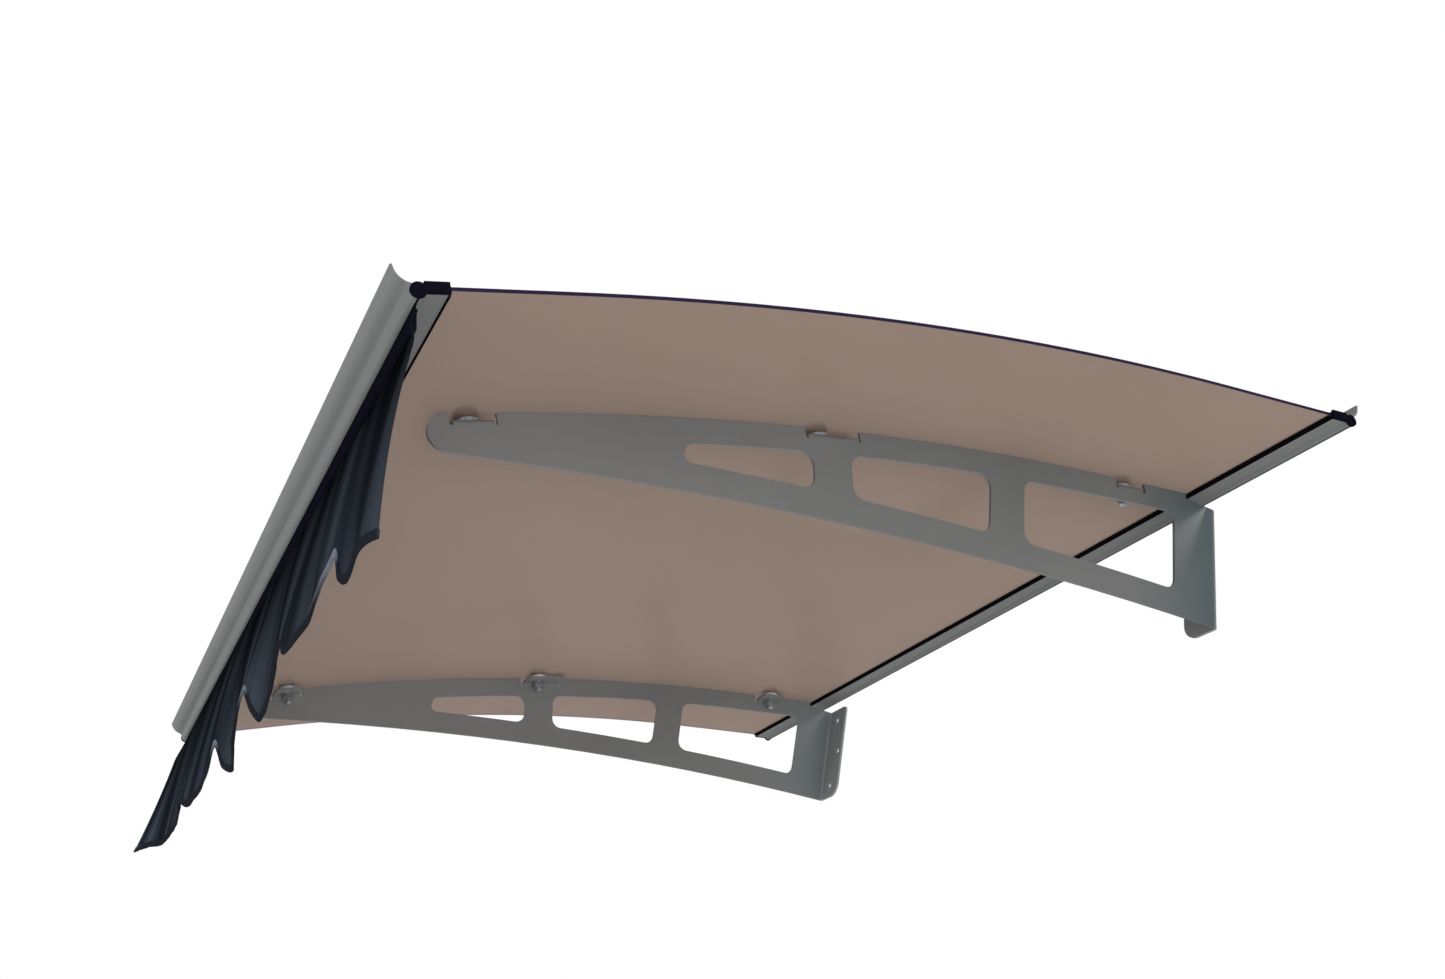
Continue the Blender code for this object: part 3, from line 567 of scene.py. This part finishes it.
# The cloth's top is turned over into a pocket that hides the seam, drawn as its section

header = {
    "half": 0.5935,
    "slices": 120,
    "wrinkle": 0.0007,
    "wrinkleLength": 0.03,
    "wrinkleSeed": (8.1, 2.3),
    "section": (
        (-0.86930, -0.29290), (-0.87215, -0.29290), (-0.87235, -0.30000), (-0.87225, -0.31000),
        (-0.87120, -0.31360), (-0.86850, -0.31440), (-0.86620, -0.31250), (-0.86590, -0.30800),
        (-0.86740, -0.30300), (-0.86880, -0.29800),
    ),
}


def makeHeader():
    half = header["half"]
    bm = bmesh.new()
    bm.faces.new([bm.verts.new((-half, y, z)) for y, z in header["section"]])
    pullAlongX(bm, 2 * half)
    lengthwise = [edge for edge in bm.edges if edge.calc_length() > half]
    bmesh.ops.subdivide_edges(bm, edges=lengthwise, cuts=header["slices"] - 1)
    for vert in bm.verts:
        place = (vert.co.x / header["wrinkleLength"], *header["wrinkleSeed"])
        share = min(1.0, (valance["top"] - vert.co.z) / valance["seam"])
        vert.co.y += header["wrinkle"] * noise.noise(Vector(place)) * share
    bmesh.ops.recalc_face_normals(bm, faces=bm.faces)
    # The pocket takes the near-black plastic finish, darker than the cloth: painted shade under
    # the profile.
    piece = addPiece("valance_header", bm, materials["plastic"], smoothAngle=50.0)
    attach(piece, "root")
    return piece


# Binding round the hem, dark below, with a painted highlight in random patches up in the arches

binding = {
    "width": 0.0065,
    "stand": 0.0006,
    "gap": 0.0003,
    "roughness": 0.8,
    "colour": (0.013, 0.015, 0.020),
    # the painted highlight's colour
    "light": (0.150, 0.168, 0.200),
    "darkBelow": -0.447,
    "highlightAbove": -0.436,
    "contrast": (0.05, 0.95),
    "patchScale": 30.0,
    "patchLow": 0.6,
    "probe": (0.0004, 0.01),  # how far along X and up the cloth its lie is felt out
}


def makeBindingMaterial():
    material, tree, shader = newMaterial("hemBinding", binding["roughness"], specular=0.0)
    uv = addNode(tree, "ShaderNodeUVMap", uv_map="cloth").outputs["UV"]
    patches = noisePattern(tree, uv, binding["patchScale"], 4.0, 0.5)
    # painted highlight: lighter the higher the hem rises, in random patches
    paintedHighlight = rangeOf(tree, patches, binding["patchLow"], 1.0, 0.35, 0.65)
    z = axisOf(tree, objectPlace(tree), "Z")
    height = rangeOf(tree, z, 0.0, 1.0, binding["darkBelow"], binding["highlightAbove"])
    highlightStrength = calculate(tree, "MULTIPLY", height, paintedHighlight)
    light, contrast = binding["light"], binding["contrast"]
    colour = blendTones(tree, highlightStrength, binding["colour"], light, contrast)
    tree.links.new(colour, shader.inputs["Base Color"])
    return material


# Which way the cloth falls at the hem, and which way it faces

def hemAxes(x):
    aside, above = binding["probe"]
    inward = 1.0 if x < 0.0 else -1.0
    hem = clothPoint(x, 1.0)
    along = (clothPoint(x + inward * aside, 1.0) - hem) * inward
    fall = (hem - clothPoint(x, 1.0 - above)).normalized()
    return fall, along.cross(fall).normalized()


def makeBinding():
    width, gap = binding["width"], binding["gap"]
    out = valance["thickness"] / 2 + binding["stand"]
    section = [
        (-width, gap), (-width, out), (0.0, out), (binding["stand"], 0.0),
        (0.0, -out), (-width, -out), (-width, -gap), (-width, gap),
    ]
    turns = len(section) - 1
    bm = bmesh.new()
    bmesh.ops.create_grid(bm, x_segments=valance["columns"], y_segments=turns, size=1.0)
    flat = bm.loops.layers.uv.new("cloth")
    for face in bm.faces:
        for loop in face.loops:
            loop[flat].uv = (loop.vert.co.x * halfWidth, loop.vert.co.y * width)
    for vert in bm.verts:
        x = vert.co.x * halfWidth
        down, across = section[round((1.0 + vert.co.y) / 2 * turns)]
        fall, face = hemAxes(x)
        vert.co = clothPoint(x, 1.0) + fall * down + face * across
    bmesh.ops.remove_doubles(bm, verts=bm.verts, dist=0.00001)
    bmesh.ops.holes_fill(bm, edges=[edge for edge in bm.edges if edge.is_boundary])
    bmesh.ops.recalc_face_normals(bm, faces=bm.faces)
    piece = addPiece("valance_binding", bm, makeBindingMaterial(), smoothAngle=40.0)
    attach(piece, "root")
    return piece


# The front seal's lip, a thin black line that shows along the profile's rear edge

sealLip = {
    "centre": (-0.85235, -0.27665),
    "radius": 0.0009,
    "half": 0.5985,
    "segments": 16,
}


def makeSealLip():
    half, radius, segments = sealLip["half"], sealLip["radius"], sealLip["segments"]
    bm = bmesh.new()
    ring = bmesh.ops.create_circle(bm, cap_ends=True, segments=segments, radius=radius)["verts"]
    bmesh.ops.rotate(bm, verts=ring, matrix=Matrix.Rotation(math.pi / 2, 3, "Y"))
    bmesh.ops.translate(bm, verts=ring, vec=(-half, *sealLip["centre"]))
    pullAlongX(bm, 2 * half)
    bmesh.ops.recalc_face_normals(bm, faces=bm.faces)
    piece = addPiece("front_seal_lip", bm, materials["rubber"])
    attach(piece, "root")


makeSealLip()
drape = makeValance()
hemBinding = makeBinding()
topPocket = makeHeader()
print("valance made")


# Room: a plain floor far below, soft light from all round, and three broad lamps

room = {
    "floorHeight": -2.6,
    "floorSize": 30.0,
    "floorColour": (0.85, 0.85, 0.85),
    "floorRoughness": 0.9,
    "floorSpecular": 0.1,
    "ambient": 0.90,
    "lampsLookAt": (0.0, -0.45, -0.15),
    "lamps": {
        "keyLamp": {"place": (2.2, -3.0, 2.6), "power": 22.0, "size": 2.4},
        "fillLamp": {"place": (5.2, -0.9, -2.3), "power": 160.0, "size": 2.0},
        "frontLamp": {"place": (-0.4, -4.4, -2.2), "power": 70.0, "size": 2.0},
    },
}


# The world is white where it is seen, also in glass and metal, and dimmer as light

def makeWorld():
    world = bpy.data.worlds.new("plainRoom")
    scene.world = world
    world.use_nodes = True
    tree = world.node_tree
    background = tree.nodes["Background"]
    rays = addNode(tree, "ShaderNodeLightPath").outputs
    seen = calculate(tree, "MAXIMUM", rays["Is Camera Ray"], rays["Is Glossy Ray"])
    seen = calculate(tree, "MAXIMUM", seen, rays["Is Transmission Ray"])
    background.inputs["Color"].default_value = (1.0, 1.0, 1.0, 1.0)
    strength = rangeOf(tree, seen, room["ambient"], 1.0)
    tree.links.new(strength, background.inputs["Strength"])


def makeFloor():
    bm = bmesh.new()
    bmesh.ops.create_grid(bm, x_segments=1, y_segments=1, size=room["floorSize"] / 2)
    bmesh.ops.translate(bm, verts=bm.verts, vec=(0.0, 0.0, room["floorHeight"]))
    material, tree, shader = newMaterial(
        "paleFloor", room["floorRoughness"], specular=room["floorSpecular"],
    )
    shader.inputs["Base Color"].default_value = (*room["floorColour"], 1.0)
    floor = addPiece("floor", bm, material)


def makeLamp(name, lamp):
    light = bpy.data.lights.new(name, "AREA")
    light.energy = lamp["power"]
    light.size = lamp["size"]
    holder = bpy.data.objects.new(name, light)
    scene.collection.objects.link(holder)
    holder.location = lamp["place"]
    look = Vector(room["lampsLookAt"]) - Vector(lamp["place"])
    holder.rotation_euler = look.to_track_quat("-Z", "Y").to_euler()
    holder.visible_camera = False


makeWorld()
makeFloor()
for name, lamp in room["lamps"].items():
    makeLamp(name, lamp)
print("room made")


# Camera, below the canopy's right front corner and looking up at it, turned in degrees

viewpoint = {
    "place": (1.412584, -0.945903, -0.840993),
    "yaw": 21.131,
    "pitch": 29.708,
    "roll": 10.120,
    "lens": 35.398,
    "sensor": 36.0,
    "nearest": 0.01,
}


def makeCamera():
    yaw, pitch, roll = (math.radians(viewpoint[key]) for key in ("yaw", "pitch", "roll"))
    level = math.cos(pitch)
    forward = Vector((-level * math.cos(yaw), level * math.sin(yaw), math.sin(pitch)))
    sideways = forward.cross(Vector((0.0, 0.0, 1.0))).normalized()
    upright = sideways.cross(forward)
    right = math.cos(roll) * sideways + math.sin(roll) * upright
    up = math.cos(roll) * upright - math.sin(roll) * sideways
    data = bpy.data.cameras.new("camera")
    camera = bpy.data.objects.new("camera", data)
    scene.collection.objects.link(camera)
    turn = Matrix((right, up, -forward)).transposed().to_4x4()
    camera.matrix_world = Matrix.Translation(viewpoint["place"]) @ turn
    data.sensor_fit = "HORIZONTAL"
    data.sensor_width = viewpoint["sensor"]
    data.lens = viewpoint["lens"]
    data.clip_start = viewpoint["nearest"]
    scene.camera = camera


makeCamera()
scene.view_settings.view_transform = "Standard"
print("camera made")
